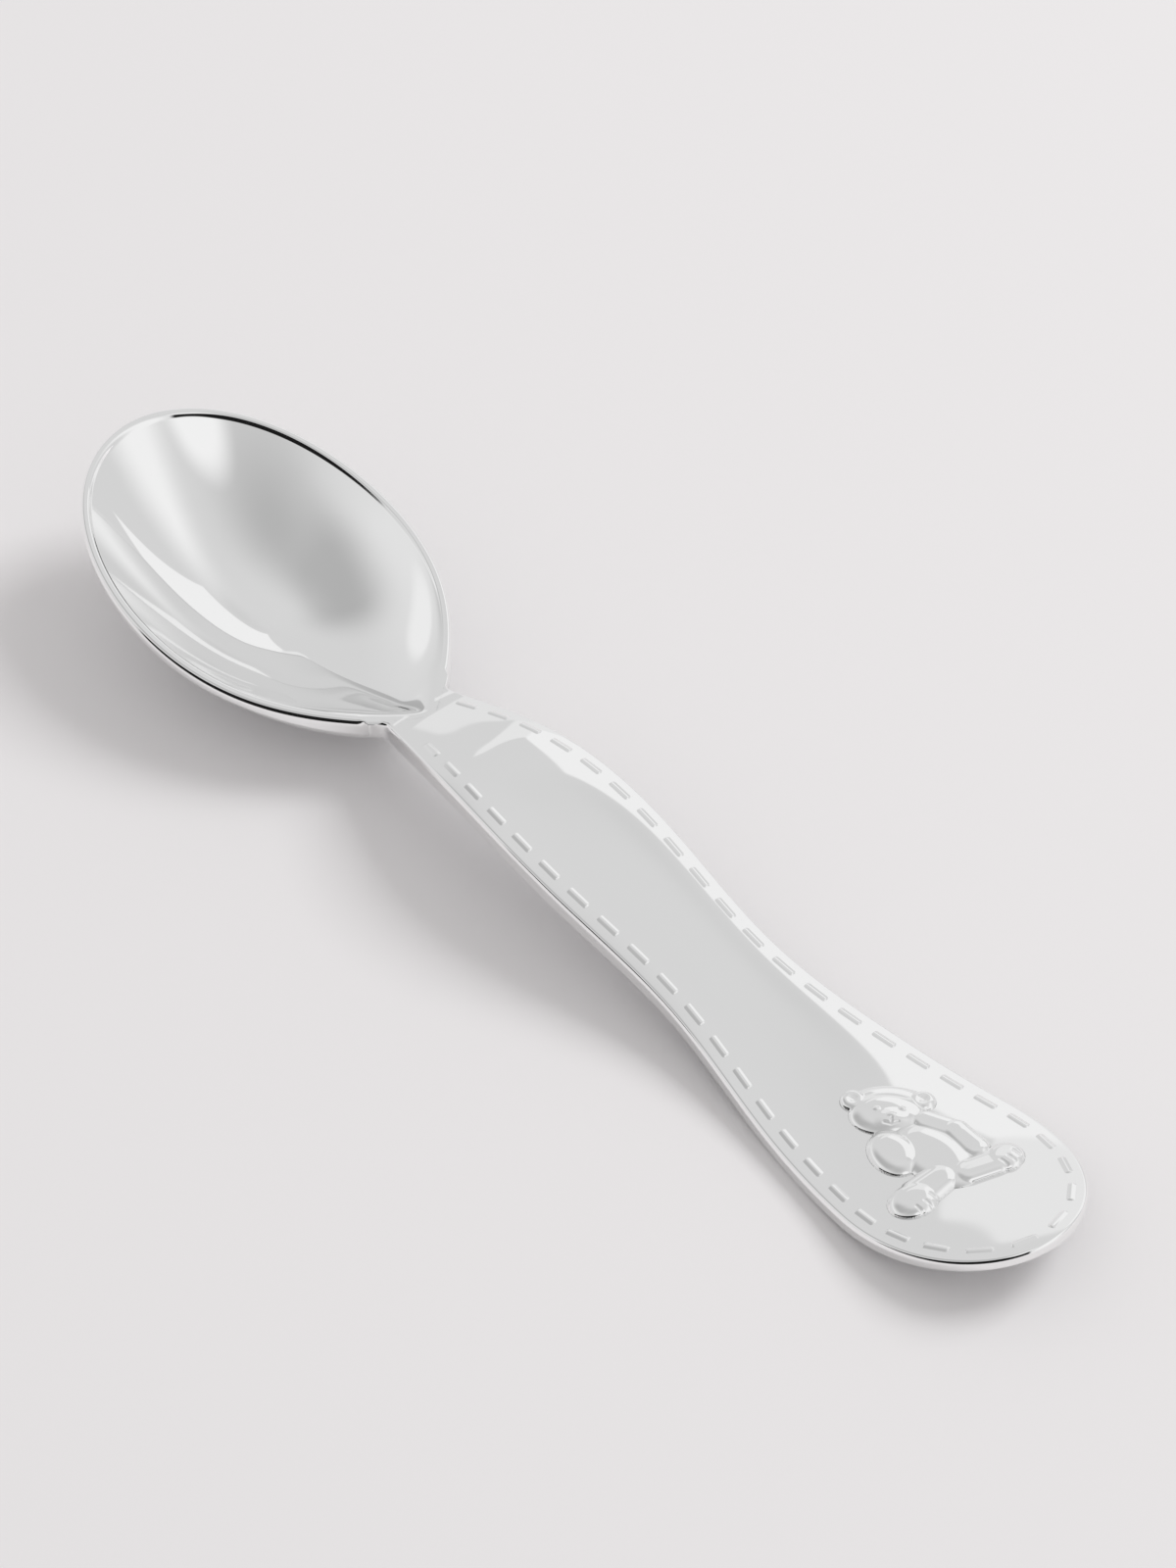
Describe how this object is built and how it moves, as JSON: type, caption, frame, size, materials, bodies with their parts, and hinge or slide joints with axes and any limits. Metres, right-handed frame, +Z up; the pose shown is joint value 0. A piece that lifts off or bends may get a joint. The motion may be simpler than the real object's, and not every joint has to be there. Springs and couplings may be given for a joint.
{
  "type": "child's spoon",
  "caption": "Small polished spoon with an egg shaped bowl and a curved, broadening handle that has a stitched border and a raised bear near its end.",
  "frame": {"origin": "on the table under the middle of the spoon's box", "axes": "+X from the tip of the bowl to the end of the handle, +Y across, +Z up off the table"},
  "size_m": [0.145, 0.0328, 0.0155],
  "materials": {
    "bowl_metal": "mirror polished silver plate",
    "handle_metal": "mirror polished silver plate",
    "bear_metal": "mirror polished silver plate"
  },
  "bodies": {
    "root": {"bowl": "bowl_metal", "handle": "handle_metal", "bear": "bear_metal"}
  },
  "joints": []
}
